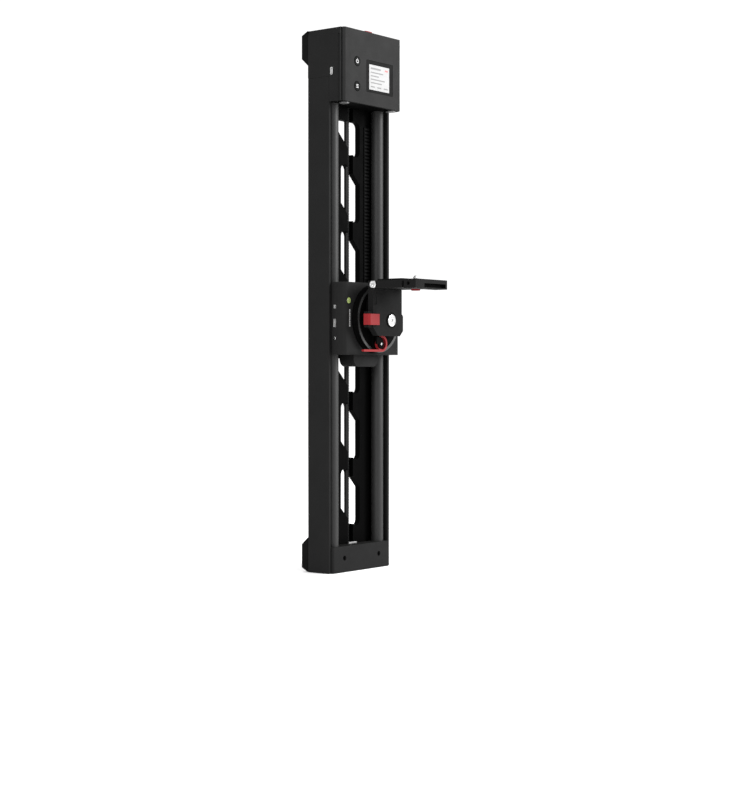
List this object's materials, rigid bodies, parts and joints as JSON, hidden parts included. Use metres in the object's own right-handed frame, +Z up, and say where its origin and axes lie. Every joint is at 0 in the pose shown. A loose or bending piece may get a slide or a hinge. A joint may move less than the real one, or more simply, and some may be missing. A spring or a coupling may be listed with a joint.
{
  "type": "camera slider",
  "caption": "Upright motorised camera slider: a rail with guide rods and an open web, a belt-driven carriage, a panning clamp with a camera platform, and a control head with a screen.",
  "frame": {"origin": "centre of the flat lower end face", "axes": "+Z up along the rail, +X along the rail's width, -Y towards the front, where the carriage and the screen are"},
  "size_m": [0.1204, 0.1525, 0.663],
  "materials": {
    "anodised": "fine sand-blasted and anodised, satin",
    "charcoal": "dark anodised, satin",
    "black_metal": "black anodised, matte",
    "polished_steel": "polished",
    "steel": "machined",
    "rubber": "matte",
    "roller": "smooth moulded",
    "red": "red anodised, satin",
    "brass": "machined",
    "button": "fine texture",
    "screen": "lit display under glass",
    "board": "solder mask",
    "battery": "shrink wrap",
    "vial": "clear liquid vial"
  },
  "bodies": {
    "rail": {"side_plate_left": "charcoal", "side_plate_right": "charcoal", "guide_rod_left": "polished_steel", "guide_rod_right": "polished_steel", "web": "black_metal", "mid_mount": "black_metal", "ribbed_cable": "rubber", "end_cap": "anodised", "belt_anchor_upper": "steel", "belt_anchor_lower": "steel", "drive_belt": "rubber", "upper_foot_left": "rubber", "upper_foot_right": "rubber", "lower_foot_left": "rubber", "lower_foot_right": "rubber", "head_housing": "black_metal", "head_front_cover": "anodised", "head_side_cover_left": "charcoal", "head_side_cover_right": "charcoal", "screen_frame": "button", "screen_glass": "screen", "stop_bumper_left": "polished_steel", "stop_bumper_right": "polished_steel", "charging_socket": "steel", "control_board": "board", "battery_pack": "battery"},
    "drive": {"drive_pulley": "steel"},
    "idler_upper": {"belt_idler_upper": "steel"},
    "idler_lower": {"belt_idler_lower": "steel"},
    "power_key": {"power_button": "button"},
    "menu_key": {"menu_button": "button"},
    "top_key": {"top_button": "red"},
    "carriage": {"carriage_base": "black_metal", "carriage_cover": "anodised", "belt_bracket": "steel", "belt_wrap": "rubber", "drive_motor": "steel", "pan_motor": "steel", "bubble_level": "vial", "shutter_socket": "steel", "motor_socket": "steel", "trigger_jack": "steel"},
    "worm": {"pan_worm": "brass"},
    "roller_upper_left": {"guide_roller_upper_left": "roller"},
    "roller_upper_right": {"guide_roller_upper_right": "roller"},
    "roller_lower_left": {"guide_roller_lower_left": "roller"},
    "roller_lower_right": {"guide_roller_lower_right": "roller"},
    "pan": {"pan_turntable": "black_metal", "pan_worm_wheel": "brass", "clamp_block": "black_metal", "clamp_lever_pin": "black_metal", "bracket_plate": "anodised", "platform_arm": "anodised", "platform_arm_screw": "polished_steel", "camera_pad": "rubber"},
    "cam_lever": {"clamp_lever": "red"},
    "plate_lever": {"bracket_lever": "red"},
    "plate_knob": {"bracket_knob": "polished_steel"},
    "jaw": {"camera_jaw": "anodised"},
    "screw": {"camera_screw": "red"}
  },
  "joints": [
    {"name": "carriage_slide", "type": "slide", "parent": "rail", "child": "carriage", "axis": [0, 0, 1], "range_m": [-0.2165, 0.2155]},
    {"name": "drive_spin", "type": "hinge", "parent": "carriage", "child": "drive", "pos_m": [0, -0.009, 0.309], "axis": [1, 0, 0], "range_deg": [-2500, 2500]},
    {"name": "idler_upper_spin", "type": "hinge", "parent": "carriage", "child": "idler_upper", "pos_m": [0, -0.0019, 0.31915], "axis": [1, 0, 0], "range_deg": [-2500, 2500]},
    {"name": "idler_lower_spin", "type": "hinge", "parent": "carriage", "child": "idler_lower", "pos_m": [0, -0.0019, 0.29885], "axis": [1, 0, 0], "range_deg": [-2500, 2500]},
    {"name": "roller_upper_left_spin", "type": "hinge", "parent": "carriage", "child": "roller_upper_left", "pos_m": [-0.0287, -0.0075, 0.339], "axis": [0, 1, 0], "range_deg": [-1600, 1600]},
    {"name": "roller_upper_right_spin", "type": "hinge", "parent": "carriage", "child": "roller_upper_right", "pos_m": [0.0287, -0.0075, 0.339], "axis": [0, 1, 0], "range_deg": [-1600, 1600]},
    {"name": "roller_lower_left_spin", "type": "hinge", "parent": "carriage", "child": "roller_lower_left", "pos_m": [-0.0287, -0.0075, 0.279], "axis": [0, 1, 0], "range_deg": [-1600, 1600]},
    {"name": "roller_lower_right_spin", "type": "hinge", "parent": "carriage", "child": "roller_lower_right", "pos_m": [0.0287, -0.0075, 0.279], "axis": [0, 1, 0], "range_deg": [-1600, 1600]},
    {"name": "pan_turn", "type": "hinge", "parent": "carriage", "child": "pan", "pos_m": [0, -0.04, 0.309], "axis": [0, 1, 0], "continuous": true},
    {"name": "pan_worm_spin", "type": "hinge", "parent": "carriage", "child": "worm", "pos_m": [0, -0.0284, 0.2873], "axis": [1, 0, 0], "continuous": true},
    {"name": "cam_lever_turn", "type": "hinge", "parent": "pan", "child": "cam_lever", "pos_m": [-0.0069, -0.0495, 0.2781], "axis": [0, -1, 0], "range_deg": [0, 95]},
    {"name": "plate_lever_turn", "type": "hinge", "parent": "pan", "child": "plate_lever", "pos_m": [-0.0345, -0.0551, 0.3074], "axis": [0, 0, 1], "range_deg": [-100, 0]},
    {"name": "plate_knob_turn", "type": "hinge", "parent": "pan", "child": "plate_knob", "pos_m": [0.0056, -0.057, 0.307], "axis": [0, 1, 0], "continuous": true},
    {"name": "camera_jaw_slide", "type": "slide", "parent": "pan", "child": "jaw", "axis": [0, -1, 0], "range_m": [-0.002, 0.004]},
    {"name": "camera_screw_turn", "type": "hinge", "parent": "pan", "child": "screw", "pos_m": [0.006, -0.0963, 0.352], "axis": [0, 0, 1], "continuous": true},
    {"name": "power_button_press", "type": "slide", "parent": "rail", "child": "power_key", "axis": [0, 1, 0], "range_m": [0, 0.0008], "stiffness_N_per_m": 1200},
    {"name": "menu_button_press", "type": "slide", "parent": "rail", "child": "menu_key", "axis": [0, 1, 0], "range_m": [0, 0.0008], "stiffness_N_per_m": 1200},
    {"name": "top_button_press", "type": "slide", "parent": "rail", "child": "top_key", "axis": [0, 0, -1], "range_m": [0, 0.0012], "stiffness_N_per_m": 1200}
  ],
  "couplings": [
    {"joint": "drive_spin", "follows": "carriage_slide", "rad_per_m": 196.08},
    {"joint": "idler_upper_spin", "follows": "carriage_slide", "rad_per_m": -198.02},
    {"joint": "idler_lower_spin", "follows": "carriage_slide", "rad_per_m": -198.02},
    {"joint": "roller_upper_left_spin", "follows": "carriage_slide", "rad_per_m": -125},
    {"joint": "roller_upper_right_spin", "follows": "carriage_slide", "rad_per_m": 125},
    {"joint": "roller_lower_left_spin", "follows": "carriage_slide", "rad_per_m": -125},
    {"joint": "roller_lower_right_spin", "follows": "carriage_slide", "rad_per_m": 125},
    {"joint": "pan_worm_spin", "follows": "pan_turn", "ratio": 40}
  ]
}
